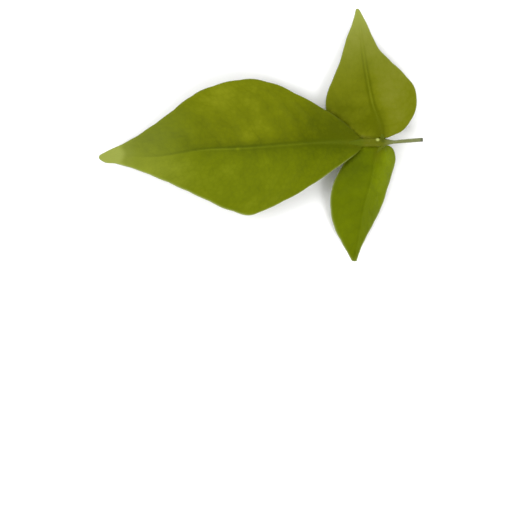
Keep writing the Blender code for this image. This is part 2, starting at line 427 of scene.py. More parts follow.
LEFT = Leaflet(
    name="left",
    rib=(
        (35.7, -3.93, 7.6),
        (34.4, -7.2, 8.15),
        (33.75, -10.6, 8.4),
        (33.0, -14.4, 8.25),
        (31.75, -18.7, 7.45),
        (30.6, -23.4, 6.0),
        (29.65, -29.3, 3.5),
        (28.6, -35.2, 1.05),
        (28.1, -38.0, 0.6),
    ),
    left=Half(
        margin=(
            (36.5, -3.2),
            (38.2, -3.35),
            (39.5, -4.1),
            (40.1, -5.1),
            (40.45, -7.0),
            (40.0, -9.7),
            (39.1, -12.7),
            (37.9, -16.5),
            (36.5, -21.0),
            (34.2, -26.0),
            (31.95, -30.2),
            (30.05, -34.2),
            (28.8, -37.9),
        ),
        droop=6.2,
        roundness=1.5,
        wave=0.5,
        waves=3.0,
        phase=0.4,
        relief=0.8,
        rim_highlight=0.8,
    ),
    right=Half(
        margin=(
            (34.9, -3.7),
            (31.6, -3.3),
            (28.6, -4.4),
            (26.0, -6.9),
            (24.2, -9.6),
            (22.4, -13.0),
            (21.1, -16.6),
            (20.75, -20.2),
            (21.1, -24.6),
            (22.3, -28.6),
            (24.2, -32.2),
            (26.0, -35.4),
            (27.4, -37.9),
        ),
        droop=2.7,
        roundness=1.2,
        wave=0.4,
        waves=1.5,
        phase=2.6,
        relief=0.7,
        rim_highlight=0.8,
        base_lift=0.55,
    ),
    side_veins=7,
    lobe_depth=0.1,
    patches=(
        # A painted shadow cast by the terminal leaflet.
        (28.5, -8.5, 6.0, -0.40),
        (26.0, -19.0, 7.0, -0.12),
        # A painted highlight on the steep outer half.
        (38.0, -8.5, 4.5, 0.35),
        (38.3, -4.7, 1.3, 0.25),
        # These two are painted light, lifting the shade under the terminal leaflet's corner and the
        # stalk.
        (31.0, -4.0, 1.3, 0.32),
        (30.5, -3.8, 0.8, 0.50),
        (36.0, -17.0, 4.0, 0.20),
        (35.8, -13.6, 1.8, 0.16),
        (28.0, -27.0, 5.0, -0.06),
    ),
    tissue=("#546100", "#657300", "#768504", "#839017"),
    tip_backlight=((0.95, 1.0, 0.1),),
    rib_look=((0.0, 0.06, 0.06, 0.26), (0.3, 0.05, 0.04, 0.22), (0.9, 0.0, 0.04, 0.18)),
    rib_relief=0.65,
    shade_spread=0.4,
    rows=230,
    half_columns=54,
    seed=37,
)

# x, y, z and radius along the stalk, from its cut end. The last points run on as the
# terminal leaflet's midrib.
STALK_ROUTE = (
    (48.45, -1.60, 4.7, 0.58),
    (45.6, -1.82, 5.3, 0.56),
    (42.0, -2.15, 6.2, 0.54),
    (39.5, -2.36, 6.8, 0.54),
    (38.2, -2.38, 7.05, 0.80),
    (36.8, -2.44, 7.3, 1.12),
    (35.0, -2.48, 7.55, 1.15),
    (33.0, -2.50, 7.75, 1.12),
    (31.4, -2.55, 7.85, 1.10),
    (30.2, -2.60, 7.85, 1.06),
    (28.8, -2.60, 7.82, 0.88),
    (27.0, -2.58, 7.80, 0.60),
    (24.8, -2.54, 7.80, 0.30),
)
STALK_RINGS = 260
STALK_SIDES = 56

# The short stalks of the side leaflets, from inside the joint to inside the blade's base.
RIGHT_FOOT_ROUTE = (
    (36.2, -2.2, 7.15, 0.90),
    (36.2, -1.2, 7.20, 0.84),
    (36.1, -0.2, 7.15, 0.66),
    (35.9, 1.0, 7.05, 0.34),
    (35.7, 2.2, 7.12, 0.12),
)
LEFT_FOOT_ROUTE = (
    (37.6, -2.5, 7.10, 0.72),
    (36.6, -3.1, 7.22, 0.74),
    (35.7, -3.9, 7.30, 0.62),
    (35.0, -5.1, 7.36, 0.42),
    (34.6, -6.4, 7.40, 0.20),
)
FOOT_RINGS = 40
FOOT_SIDES = 36

# The cut end steps in by rings, a little dished and uneven, with pith in its middle.
CUT_RINGS = (0.86, 0.62, 0.38, 0.16)
CUT_DISH, CUT_UNEVENNESS = 0.10, 0.035
PITH_SHARE = 0.7

# Where the stalk's colours change, in millimetres: along x, and for the painted shade on one
# side where the side leaflets' stalks join it, along y too. Foot green is a share of the way
# along a side leaflet's short stalk.
GREYER, GREYEST, DRIED_END = (36.5, 39.5), (41.0, 48.0), (47.5, 48.1)
BLADE_GREEN = (29.3, 31.8)
JOINT_SHADE_PLACE, JOINT_SHADE_REACH, JOINT_SHADE_SIDE = 36.4, 0.7, (-3.0, -2.2)
FOOT_GREEN = (0.1, 0.5)

# The pinhead pad on top of the joint, painted pale: a painted highlight, the glint on its small
# swelling.
GLINT_PAD_PLACE = (34.85, -1.68, 8.45)
GLINT_PAD_HEIGHT = 0.12
GLINT_PAD_STRETCH, GLINT_PAD_EDGE, GLINT_PAD_REACH = 1.15, (0.22, 0.62), 0.9

# The studio. Each soft light has its name, its place and side in metres, and its power in
# watts. The table's reach is in metres, and the camera's values are in millimetres.
SOFT_BOXES = (
    ("key_light", (0.62, -0.75, 0.85), 0.6, 8.9),
    ("fill_light", (-0.9, 0.1, 0.75), 0.8, 5.5),
    ("back_light", (0.1, 0.95, 0.75), 0.8, 5.5),
)
WALL_FADE, CEILING_LIGHT = (0.35, 0.95), 0.57
TABLE_REACH = 1.5
CAMERA_DISTANCE, SENSOR_WIDTH, LEAF_MIDDLE_HEIGHT = 1000.0, 36.0, 4.0


# Curves and surfaces

def smooth_curve(points, shares):
    """Points on a smooth curve through the given ones, at shares of its length."""
    points = np.array(points, float)
    plan = points[:, :2]
    knots = np.concatenate(([0.0], np.cumsum(np.linalg.norm(np.diff(plan, axis=0), axis=1))))
    slopes = np.gradient(points, knots, axis=0, edge_order=2)
    at = np.clip(np.asarray(shares, float), 0.0, 1.0) * knots[-1]
    span = np.clip(np.searchsorted(knots, at, side="right") - 1, 0, len(knots) - 2)
    gap = (knots[span + 1] - knots[span])[:, None]
    u = (at - knots[span])[:, None] / gap
    start = (1 + 2 * u) * (1 - u) ** 2 * points[span] + u * (1 - u) ** 2 * gap * slopes[span]
    end = u * u * (3 - 2 * u) * points[span + 1] - u * u * (1 - u) * gap * slopes[span + 1]
    return start + end


def unit(vectors):
    """The same directions, each 1 long."""
    return vectors / np.linalg.norm(vectors, axis=-1)[..., None]


def bell(distance, width):
    """1 on a line, falling softly to 0 over the given width."""
    return np.exp(-((distance / width) ** 2))


def ramp(values, low, high):
    """0 below low, 1 above high, with soft ends."""
    share = np.clip((values - low) / (high - low), 0.0, 1.0)
    return share * share * (3 - 2 * share)


def column_shares(count):
    """Places across a half blade, closest together at the midrib and at the margin."""
    rib_crowding, rib_band = 5, 0.05
    margin_crowding, margin_band = 4, 0.03
    samples = 2001
    fine = np.linspace(0.0, 1.0, samples)
    density = 1 + rib_crowding * bell(fine, rib_band)
    density = density + margin_crowding * bell(1 - fine, margin_band)
    travelled = np.concatenate(([0.0], np.cumsum((density[1:] + density[:-1]) / 2)))
    return np.interp(np.linspace(0, travelled[-1], count + 1)[1:], travelled, fine)


def rough_field(u, v, length, seed):
    """Smooth random heights about 0, with the given distance from hill to hill."""
    flat = zip(u.ravel() / length, v.ravel() / length)
    return np.array([noise.noise(Vector((a, b, seed))) for a, b in flat]).reshape(u.shape)


def vein_net(u, v, cell, rng):
    """1 on the lines of an uneven net whose meshes are about cell wide, 0 inside them."""
    unevenness = 0.42
    line_width = 0.2 * cell
    low_u, low_v = u.min() - 2 * cell, v.min() - 2 * cell
    across = int((u.max() + 2 * cell - low_u) / cell)
    upward = int((v.max() + 2 * cell - low_v) / cell)
    tree = kdtree.KDTree(across * upward)
    for i in range(across):
        for j in range(upward):
            du, dv = rng.uniform(-unevenness, unevenness, 2)
            tree.insert((low_u + (i + (j % 2) / 2 + du) * cell, low_v + (j + dv) * cell, 0.0), 0)
    tree.balance()
    gaps = np.empty(u.size)
    for n, (a, b) in enumerate(zip(u.ravel(), v.ravel())):
        first, second = tree.find_n((a, b, 0.0), 2)
        gaps[n] = second[2] - first[2]
    return bell(gaps, line_width).reshape(u.shape)


def half_blade(leaflet, half, sign, shares, across, offset, rng):
    """The upper face of one half blade before its fine relief, and where its veins run."""
    rib = smooth_curve(leaflet.rib, shares)
    margin = smooth_curve(half.margin, shares + VEIN_SLANT * shares * (1 - shares))
    out = margin - rib[:, :2]
    width = np.linalg.norm(out, axis=1)[:, None]
    relative = width / width.max()
    heading = unit(np.gradient(rib[:, :2], axis=0))
    edge = unit(np.gradient(margin, axis=0))
    outward = sign * np.stack((-edge[:, 1], edge[:, 0]), axis=1)
    t = shares[:, None]
    w = across[None, :]

    # The margin draws in a little near the end of each side vein.
    steps = (t - VEIN_LEAN) * (leaflet.side_veins + 1) + offset
    scallops = np.abs(np.sin(math.pi * steps)) - 1
    lobes = scallops * leaflet.lobe_depth * np.minimum(1, relative * 2)
    plan = rib[:, None, :2] + out[:, None, :] * w[..., None]
    bow = VEIN_BOW * 4 * w * (1 - w) * width * np.sqrt(np.sin(math.pi * t))
    plan = plan - bow[..., None] * heading[:, None, :]
    plan = plan + (lobes * w**LOBE_SHARPNESS)[..., None] * outward[:, None, :]

    # The side veins keep their uneven spacing all the way and swing forward near the margin.
    count = leaflet.side_veins
    spacing = 1 / (count + 1)
    shifts = rng.uniform(-VEIN_UNEVENNESS, VEIN_UNEVENNESS, count + 1)
    places = (np.arange(1, count + 2) - offset + shifts) * spacing
    hook = np.clip((w - VEIN_HOOK_START) / (1 - VEIN_HOOK_START), 0, None) ** 2
    swing = spacing * (VEIN_SWEEP * w**2 + VEIN_HOOK * hook)
    swing = swing * np.minimum(1, relative * 1.5)
    origin = t - VEIN_LEAN * w - swing
    turns = WRIGGLES_ACROSS * w + WRIGGLES_ALONG * t
    wriggle = VEIN_WRIGGLE * spacing * np.sin(2 * math.pi * turns)
    knots = np.concatenate(([-offset * spacing], places, [1 + 2 * spacing]))
    count_at = np.interp(origin + wriggle, knots, np.arange(len(knots), dtype=float))

    between = np.sin(math.pi * count_at) ** 2
    hang = half.droop * relative * w**half.roundness
    wave = half.wave * relative * w**3 * np.sin(2 * math.pi * half.waves * t + half.phase)
    quilt = QUILT_HEIGHT * half.relief * between * relative * np.sin(math.pi * w**0.7)
    lift = half.base_lift * w * bell(t - BASE_LIFT_PLACE, BASE_LIFT_LENGTH)
    height = rib[:, None, 2] - hang + wave + quilt + lift
    surface = np.concatenate((plan, height[..., None]), axis=2)

    along = np.gradient(surface, shares, axis=0)
    sideways = unit(np.gradient(surface, across, axis=1))
    row_gap = np.linalg.norm(np.cross(along, sideways), axis=2) * spacing
    vein = np.rint(count_at)
    vein_distance = np.abs(count_at - vein) * row_gap
    vein_strength = rng.uniform(*VEIN_STRENGTHS, len(knots) + 2)[vein.astype(int)]
    fade = (1 - VEIN_THINNING * w) * (1 - ramp(w, *VEIN_END)) * ramp(relative, *VEIN_NARROWS)
    gap = np.floor(count_at)
    middle_distance = np.abs(count_at - gap - 0.5) * row_gap
    middle_strength = rng.uniform(*MIDDLE_STRENGTHS, len(knots) + 2)[gap.astype(int)]
    tone = rng.uniform(*SWELL_LIGHT_TONES, len(knots) + 2)[gap.astype(int)]
    return {
        "surface": surface,
        "rib_distance": w * width * SQUARE_SHARE,
        "margin_distance": (1 - w) * width * SQUARE_SHARE,
        "vein": (vein_distance, vein_strength * fade),
        "middle": (middle_distance, middle_strength * fade * (1 - ramp(w, *MIDDLE_END))),
        "relief": half.relief * np.ones(height.shape),
        "rim_highlight": half.rim_highlight * np.ones(height.shape),
        "warmth": half.warmth * ramp(w * width, *WARM_START) * (1 - ramp(t, *WARM_END)),
        "reach": t + TIP_EDGE_SLANT * t * (1 - t) * w,
        "swell_light": between * tone * np.sin(math.pi * w**0.75) * relative * half.relief,
        "relative": np.broadcast_to(relative, height.shape),
        "unfolded": w * width,
    }


def whole_blade(left, right, centre, key, index=None):
    """Joins a field of the two halves across the midrib."""
    a = left[key] if index is None else left[key][index]
    b = right[key] if index is None else right[key][index]
    return np.concatenate((a[:, ::-1], centre, b), axis=1)


def blade_faces(leaflet):
    """Upper and lower faces of a blade with all their relief, and what colours its veins."""
    rng = np.random.default_rng(leaflet.seed)
    shares = np.linspace(0.0, 1.0, leaflet.rows + 1)
    across = column_shares(leaflet.half_columns)
    left = half_blade(leaflet, leaflet.left, 1, shares, across, 0.0, rng)
    right = half_blade(leaflet, leaflet.right, -1, shares, across, 0.5, rng)
    rib = smooth_curve(leaflet.rib, shares)[:, None, :]
    zero, one = np.zeros(rib.shape[:2]), np.ones(rib.shape[:2])
    far = one * 9
    surface = whole_blade(left, right, rib, "surface")
    rib_distance = whole_blade(left, right, zero, "rib_distance")
    margin_distance = whole_blade(left, right, far, "margin_distance")
    unfolded = np.concatenate((-left["unfolded"][:, ::-1], zero, right["unfolded"]), axis=1)
    vein_distance = whole_blade(left, right, far, "vein", 0)
    vein_strength = whole_blade(left, right, zero, "vein", 1)
    vein = bell(vein_distance, VEIN_GROOVE_WIDTH) * vein_strength
    cord = bell(vein_distance, VEIN_CORD_WIDTH) * vein_strength
    middle = bell(whole_blade(left, right, far, "middle", 0), MIDDLE_GROOVE_WIDTH)
    middle = middle * whole_blade(left, right, zero, "middle", 1)
    groove, cord = vein + 0.5 * middle, cord + 0.5 * middle

    length = np.linalg.norm(np.diff(rib[:, 0], axis=0), axis=1).sum()
    t = np.broadcast_to(shares[:, None], rib_distance.shape)
    u = t * length
    net = vein_net(u, unfolded, NET_CELL, rng)
    relief = whole_blade(left, right, one, "relief")
    relative = np.broadcast_to(whole_blade(left, right, one, "relative"), t.shape)
    open_blade = ramp(rib_distance, *OPEN_FROM_RIB) * ramp(margin_distance, *OPEN_FROM_MARGIN)
    net = net * open_blade * ramp(relative, *NET_NARROWS)
    pucker = PUCKER_HEIGHT * rough_field(u, unfolded, PUCKER_LENGTH, leaflet.seed)
    fine_seed = leaflet.seed + 5
    fine_pucker = FINE_PUCKER_HEIGHT * rough_field(u, unfolded, FINE_PUCKER_LENGTH, fine_seed)

    # The channel along the midrib starts past the base and fades on its way to the tip.
    from_base = np.linalg.norm(surface - np.array(leaflet.rib[0]), axis=2)
    taper = (1 - RIB_TAPER * t) * leaflet.rib_relief**0.5
    depth = taper * ramp(from_base, *CHANNEL_START) * (1 - CHANNEL_FADE * ramp(t, *CHANNEL_END))
    gutter = GUTTER_DEPTH * depth * bell(rib_distance, GUTTER_WIDTH * taper)
    rib_line = RIB_LINE_HEIGHT * depth * bell(rib_distance, RIB_LINE_WIDTH * taper)
    swell = (pucker + fine_pucker) * open_blade * relative
    grooves = VEIN_GROOVE * relief * groove
    upper_relief = swell + rib_line - gutter - grooves - NET_GROOVE * net

    base_swelling = BASE_SWELLING * bell(from_base, BASE_SWELLING_LENGTH)
    rib_width = RIB_WIDTH - RIB_NARROWING * t
    rib_cord = RIB_DEPTH * (1 - t) ** 0.8 * bell(rib_distance, rib_width)
    lower_relief = rib_cord + VEIN_CORD * cord + NET_CORD * net - swell

    normals = unit(np.cross(np.gradient(surface, axis=1), np.gradient(surface, axis=0)))
    rounding = np.sqrt(1 - np.clip(1 - margin_distance / RIM_ROUNDING, 0, RIM_THINNING) ** 2)
    half_body = (BLADE_THICKNESS + base_swelling) * rounding / 2
    middle_depth = SOLID_THICKNESS - BLADE_THICKNESS / 2
    core = surface - np.array((0.0, 0.0, middle_depth))
    top = core + (half_body + upper_relief)[..., None] * normals
    # The midrib's cord hangs straight down, so that it doesn't fold where the blade bends.
    near_rib = bell(rib_distance, RIB_HANG_WIDTH)[..., None]
    upward = unit((1 - near_rib) * normals + near_rib * np.array((0.0, 0.0, 1.0)))
    bottom = core - (half_body + lower_relief)[..., None] * upward

    # The tip lies flat on the table and keeps nine tenths of its thickness.
    bottom[..., 2] = np.maximum(bottom[..., 2], 0.0)
    top[..., 2] = np.maximum(top[..., 2], bottom[..., 2] + 2 * half_body * 0.9)

    # Patches: the tissue's own uneven tone, with painted light and painted shade among them.
    patches = sum(
        strength * bell(np.hypot(surface[..., 0] - x, surface[..., 1] - y), reach)
        for x, y, reach, strength in leaflet.patches
    )
    reach = whole_blade(left, right, shares[:, None], "reach")
    tip_edge = reach + TIP_EDGE_WAVE * np.sin(TIP_EDGE_TURNS * unfolded + 0.6)
    tip_backlight = sum(most * ramp(tip_edge, start, end) for start, end, most in leaflet.tip_backlight)
    look = np.array(leaflet.rib_look)
    line, left_shade, right_shade = (np.interp(t, look[:, 0], look[:, k]) for k in (1, 2, 3))
    flare = LINE_FLARE * (1 - ramp(t, *LINE_FLARE_END))
    line_width = LINE_WIDTH * taper + LINE_SOFTNESS + flare
    narrow = bell(rib_distance - SHADE_PLACE * taper, NARROW_SHADE * taper)
    broad = bell(rib_distance, BROAD_SHADE * taper)
    beside = (1 - leaflet.shade_spread) * narrow + leaflet.shade_spread * broad
    tan = bell(rib_distance, TAN_WIDTH) * (1 - ramp(from_base, *TAN_END))
    rim_highlight = whole_blade(left, right, zero, "rim_highlight")
    marks = {
        "rib_line": line * bell(rib_distance, line_width),
        # The dark beside the midrib is painted shade in its channel.
        "rib_shade": beside * np.where(unfolded > 0, right_shade, left_shade),
        "patches": patches,
        "tan_base": TAN_STRENGTH * tan,
        "tip_backlight": tip_backlight,
        "rib_cord": bell(rib_distance, CORD_WIDTH * taper + CORD_SOFTNESS),
        "vein_groove_shade": np.clip(relief * groove, 0, 1),
        "side_cord": np.clip(cord, 0, 1),
        "fine_net": net,
        "swell_light": whole_blade(left, right, zero, "swell_light"),
        "warmth": whole_blade(left, right, zero, "warmth"),
        "rim_highlight": rim_highlight * bell(margin_distance, RIM_WIDTH) * ramp(from_base, *RIM_START),
    }
    return top, bottom, marks


# Meshes

def finish_piece(name, points, faces, materials, face_materials, marks):
    """A smooth mesh in metres, with its marks as attributes that the materials read."""
    mesh = bpy.data.meshes.new(name)
    mesh.from_pydata((np.asarray(points) * MM).tolist(), [], faces)
    mesh.polygons.foreach_set("material_index", face_materials)
    for mark, values in marks.items():
        attribute = mesh.attributes.new(mark, "FLOAT", "POINT")
        attribute.data.foreach_set("value", np.asarray(values, np.float32))
    for material in materials:
        mesh.materials.append(material)
    mesh.update()
    mesh.shade_smooth()
    piece = bpy.data.objects.new(name, mesh)
    bpy.context.scene.collection.objects.link(piece)
    return piece


def make_blade(leaflet, upper_material, lower_material):
    """A closed blade: its upper face, its lower face and the strip round the margin."""
    top, bottom, marks = blade_faces(leaflet)
    rows, columns = top.shape[:2]
    size = rows * columns
    grid = np.arange(size).reshape(rows, columns)
    a, b = grid[:-1, :-1].ravel(), grid[:-1, 1:].ravel()
    c, d = grid[1:, 1:].ravel(), grid[1:, :-1].ravel()
    upper = np.stack((a, b, c, d), axis=1)
    lower = np.stack((d, c, b, a), axis=1) + size
    ring = np.concatenate((grid[0, :], grid[1:, -1], grid[-1, -2::-1], grid[-2:0:-1, 0]))
    after = np.roll(ring, -1)
    strip = np.stack((ring + size, after + size, after, ring), axis=1)
    faces = np.concatenate((upper, lower, strip)).tolist()
    kinds = [0] * len(upper) + [1] * len(lower) + [0] * len(strip)
    points = np.concatenate((top.reshape(-1, 3), bottom.reshape(-1, 3)))
    both = {name: np.tile(values.ravel(), 2) for name, values in marks.items()}
    return finish_piece(
        leaflet.name + "_blade", points, faces, [upper_material, lower_material], kinds, both
    )


def tube(route, rings, sides, section, first):
    """Rings of points round a route, with the faces between them, numbered from first."""
    path = smooth_curve(route, np.linspace(0.0, 1.0, rings))
    axis, radius = path[:, :3], path[:, 3]
    heading = unit(np.gradient(axis, axis=0))
    side = unit(np.cross(heading, (0.0, 0.0, 1.0)))
    up = np.cross(side, heading)
    turn = np.linspace(0.0, 2 * math.pi, sides, endpoint=False)[None, :]
    share = np.linspace(0.0, 1.0, rings)[:, None]
    reach = radius[:, None] * section(share, turn)
    ring = np.cos(turn)[..., None] * side[:, None, :] + np.sin(turn)[..., None] * up[:, None, :]
    points = axis[:, None, :] + reach[..., None] * ring
    grid = first + np.arange(rings * sides).reshape(rings, sides)
    turned = np.roll(grid, -1, axis=1)
    faces = np.stack((grid[:-1], turned[:-1], turned[1:], grid[1:]), axis=2).reshape(-1, 4)
    return points, grid, faces.tolist(), axis, heading


# Materials

def linear(code):
    """An sRGB hex colour as linear red, green, blue and alpha."""
    values = [int(code[i : i + 2], 16) / 255 for i in (1, 3, 5)]
    return [v / 12.92 if v <= 0.04045 else ((v + 0.055) / 1.055) ** 2.4 for v in values] + [1.0]


def per(length):
    """The texture scale whose pattern repeats once in the given millimetres."""
    return 1 / (length * MM)


def add(tree, kind, inputs=(), out=0, **settings):
    """Adds a node with its settings and links, and gives the output that is asked for.

    Inputs come by name, or in the node's own order. Each is a value or the output that feeds it.
    """
    made = tree.nodes.new(kind)
    for name, value in settings.items():
        setattr(made, name, value)
    for key, value in inputs.items() if isinstance(inputs, dict) else enumerate(inputs):
        if isinstance(value, bpy.types.NodeSocket):
            tree.links.new(value, made.inputs[key])
        else:
            made.inputs[key].default_value = value
    return made.outputs[out] if made.outputs else None


def blank_material(name):
    """A new material with an empty node tree, and that tree."""
    material = bpy.data.materials.new(name)
    material.use_nodes = True
    material.node_tree.nodes.clear()
    return material, material.node_tree


def paint(tree, colour, layers):
    """Lays colours over a base, one after another.

    Each layer has what places it, a mark of the mesh or a pattern, the values of that where
    it starts and where it is full, how much it then covers, and its colour.
    """
    for place, start, full, most, code in layers:
        if isinstance(place, str):
            place = add(tree, "ShaderNodeAttribute", out="Fac", attribute_name=place)
        share = add(tree, "ShaderNodeMapRange", (place, start, full, 0.0, most))
        cover = {"Factor": share, "A": colour, "B": linear(code)}
        colour = add(tree, "ShaderNodeMix", cover, "Result", data_type="RGBA")
    return colour


def raised_finish(tree, height, strength, size, finish):
    """A finish with fine relief of the given size in millimetres."""
    relief = {"Strength": strength, "Distance": size * MM, "Height": height}
    normal = add(tree, "ShaderNodeBump", relief, "Normal")
    return add(tree, "ShaderNodeBsdfPrincipled", {**finish, "Normal": normal}, "BSDF")


def leaf_surface(tree, colour, roughness, height, size):
    """A waxed leaf skin over green tissue that passes part of the light."""
    finish = {
        "Base Color": colour,
        "Roughness": roughness,
        "IOR": LEAF_IOR,
        "Specular IOR Level": WAX_SHINE,
    }
    skin = raised_finish(tree, height, strength=0.6, size=size, finish=finish)
    inside = {"Factor": 0.5, "A": colour, "B": linear(LIT_TISSUE)}
    glow = add(tree, "ShaderNodeMix", inside, "Result", data_type="RGBA")
    through = add(tree, "ShaderNodeBsdfTranslucent", {"Color": glow}, "BSDF")
    mixed = add(tree, "ShaderNodeMixShader", (LIGHT_THROUGH, skin, through))
    add(tree, "ShaderNodeOutputMaterial", {"Surface": mixed})


def upper_leaf_face(leaflet):
    """Fresh young leaf, upper face: thin clear wax over yellow-green tissue.

    The wax gives a soft half gloss. The tissue carries painted shade along its sunk veins and
    beside the midrib, painted light where it swells between the veins and near the thin tip,
    and a painted highlight along its thin edge.
    """
    material, tree = blank_material(leaflet.name + "_waxed_leaf")
    place = add(tree, "ShaderNodeTexCoord", out="Object")
    clouds, mottle = (
        add(tree, "ShaderNodeTexNoise", {"Vector": place, "Scale": per(size), "Detail": 3.0}, "Fac")
        for size in (CLOUD_SIZE, MOTTLE_SIZE)
    )
    fine_veins = {"Vector": place, "Scale": per(UPPER_FINE_MESH)}
    fine = add(
        tree, "ShaderNodeTexVoronoi", fine_veins, "Distance", feature="DISTANCE_TO_EDGE"
    )
    dots = {"Vector": place, "Scale": per(GLAND_SPACING)}
    glands = add(tree, "ShaderNodeTexVoronoi", dots, "Distance", feature="F1")

    level = PLAIN_LEVEL
    for name, weight in LEVEL_BY_MARK:
        amount = add(tree, "ShaderNodeAttribute", out="Fac", attribute_name=name)
        level = add(tree, "ShaderNodeMath", (amount, weight, level), operation="MULTIPLY_ADD")
    # Each pattern, a low and a high value of it, and how far those two move the level.
    shifts = (
        (clouds, *NOISE_RANGE, -0.10, 0.10),
        (mottle, *NOISE_RANGE, -0.05, 0.05),
        (fine, 0.0, 0.08, -0.07, 0.0),
    )
    for shift in shifts:
        amount = add(tree, "ShaderNodeMapRange", shift)
        level = add(tree, "ShaderNodeMath", (level, amount), operation="ADD")
    tissue = add(tree, "ShaderNodeValToRGB", (level,), "Color")
    shades = tissue.node.color_ramp.elements
    shades[0].color, shades[1].color = linear(leaflet.tissue[0]), linear(leaflet.tissue[3])
    for position, code in zip(MIDDLE_GREENS, leaflet.tissue[1:3]):
        shades.new(position).color = linear(code)

    warmth = add(tree, "ShaderNodeAttribute", out="Fac", attribute_name="warmth")
    warm = {"Factor": warmth, "A": tissue, "B": WARM_FILTER}
    colour = add(tree, "ShaderNodeMix", warm, "Result", data_type="RGBA", blend_type="MULTIPLY")
    colour = paint(tree, colour, (
        # Painted backlight: light through the thin tip, painted as paler green.
        ("tip_backlight", 0.0, 1.0, 1.0, "#9EA74F"),
        ("tan_base", 0.0, 1.0, 1.0, TAN_GREEN),
        ("rib_line", 0.0, 1.0, 1.0, "#838F22"),
        # Painted highlight along the thin edge, where it catches the light.
        ("rim_highlight", 0.0, 1.0, 1.0, "#9EA763"),
        (glands, 0.16, 0.08, 0.10, "#919A28"),
    ))
    roughness = add(tree, "ShaderNodeMapRange", (clouds, *NOISE_RANGE, *WAX_ROUGHNESS))
    between = add(tree, "ShaderNodeMapRange", (fine, 0.0, 0.1, 0.0, 1.0))
    height = add(tree, "ShaderNodeMath", (mottle, 0.8, between), operation="MULTIPLY_ADD")
    leaf_surface(tree, colour, roughness, height, size=0.02)
    return material


def lower_leaf_face():
    """The same leaf's lower face: duller and greyer, full of small air spaces.

    Its veins stand out as pale cords, and there is little wax on it.
    """
    material, tree = blank_material("matt_leaf_underside")
    place = add(tree, "ShaderNodeTexCoord", out="Object")
    broad = {"Vector": place, "Scale": per(UNDERSIDE_CLOUD_SIZE), "Detail": 3.0}
    patches = add(tree, "ShaderNodeTexNoise", broad, "Fac")
    fine_veins = {"Vector": place, "Scale": per(LOWER_FINE_MESH)}
    fine = add(
        tree, "ShaderNodeTexVoronoi", fine_veins, "Distance", feature="DISTANCE_TO_EDGE"
    )
    colour = paint(tree, linear("#707B33"), (
        (patches, *NOISE_RANGE, 1.0, "#818D45"),
        ("fine_net", 0.0, 1.0, 0.35, "#959E5D"),
        ("side_cord", 0.0, 1.0, 0.6, "#9EA56A"),
        ("rib_cord", 0.0, 1.0, 0.8, "#A3A872"),
        # Painted highlight along the thin edge here too.
        ("rim_highlight", 0.0, 1.0, 0.6, "#8F9951"),
    ))
    roughness = add(tree, "ShaderNodeMapRange", (patches, *NOISE_RANGE, *UNDERSIDE_ROUGHNESS))
    height = add(tree, "ShaderNodeMapRange", (fine, 0.0, 0.12, 1.0, 0.0))
    leaf_surface(tree, colour, roughness, height, size=0.03)
    return material


def stalk_skin():
    """Young leafstalk: a ribbed green skin over long fibres, greyer towards the cut."""
    material, tree = blank_material("ribbed_green_stalk")
    place = add(tree, "ShaderNodeTexCoord", out="Object")
    across = add(tree, "ShaderNodeSeparateXYZ", (place,), "X")
    drawn_out = {"Vector": place, "Scale": (FIBRE_STRETCH, 1.0, 1.0)}
    fibres = add(tree, "ShaderNodeMapping", drawn_out, "Vector")
    thin = {"Vector": fibres, "Scale": per(FIBRE_WIDTH), "Detail": 3.0}
    streaks = add(tree, "ShaderNodeTexNoise", thin, "Fac")
    small = {"Vector": place, "Scale": per(SPOT_SIZE), "Detail": 2.0}
    spots = add(tree, "ShaderNodeTexNoise", small, "Fac")
    colour = paint(tree, linear(TAN_GREEN), (
        (across, GREYER[0] * MM, GREYER[1] * MM, 1.0, "#6E7346"),
        (across, GREYEST[0] * MM, GREYEST[1] * MM, 1.0, "#71764F"),
        (streaks, 0.45, 0.75, 0.4, "#4A5115"),
        # Painted shade at the joint, where the side leaflets' stalks meet it.
        ("joint", 0.0, 1.0, 0.85, "#434C05"),
        ("dried_end", 0.0, 1.0, 0.8, "#525446"),
        (spots, 0.60, 0.78, 0.25, "#868D51"),
        ("foot_green", 0.0, 1.0, 0.8, "#545F04"),
        ("blade_green", 0.0, 1.0, 1.0, "#4F5A02"),
        # Painted highlight: the glint on the joint's small pad.
        ("glint_pad", 0.0, 1.0, 0.9, "#A6B05E"),
    ))
    finish = {
        "Base Color": colour,
        "Roughness": add(tree, "ShaderNodeMapRange", (spots, *NOISE_RANGE, *STALK_ROUGHNESS)),
        "IOR": LEAF_IOR,
        "Specular IOR Level": STALK_SHINE,
    }
    skin = raised_finish(tree, streaks, strength=0.7, size=0.05, finish=finish)
    add(tree, "ShaderNodeOutputMaterial", {"Surface": skin})
    return material


def cut_face():
    """The stalk's cut end: dried grey wood fibres round a paler pith."""
    material, tree = blank_material("dried_stalk_fibres")
    place = add(tree, "ShaderNodeTexCoord", out="Object")
    fine = {"Vector": place, "Scale": per(WOOD_GRAIN), "Detail": 2.0}
    grain = add(tree, "ShaderNodeTexNoise", fine, "Fac")
    colour = paint(tree, linear("#616253"), (
        ("pith", 0.0, 1.0, 1.0, "#95947E"),
        (grain, 0.4, 0.7, 0.6, "#4A4B37"),
    ))
    finish = {"Base Color": colour, "Roughness": WOOD_ROUGHNESS, "IOR": WOOD_IOR}
    wood = raised_finish(tree, grain, strength=0.8, size=0.06, finish=finish)
    add(tree, "ShaderNodeOutputMaterial", {"Surface": wood})
    return material


# The stalk

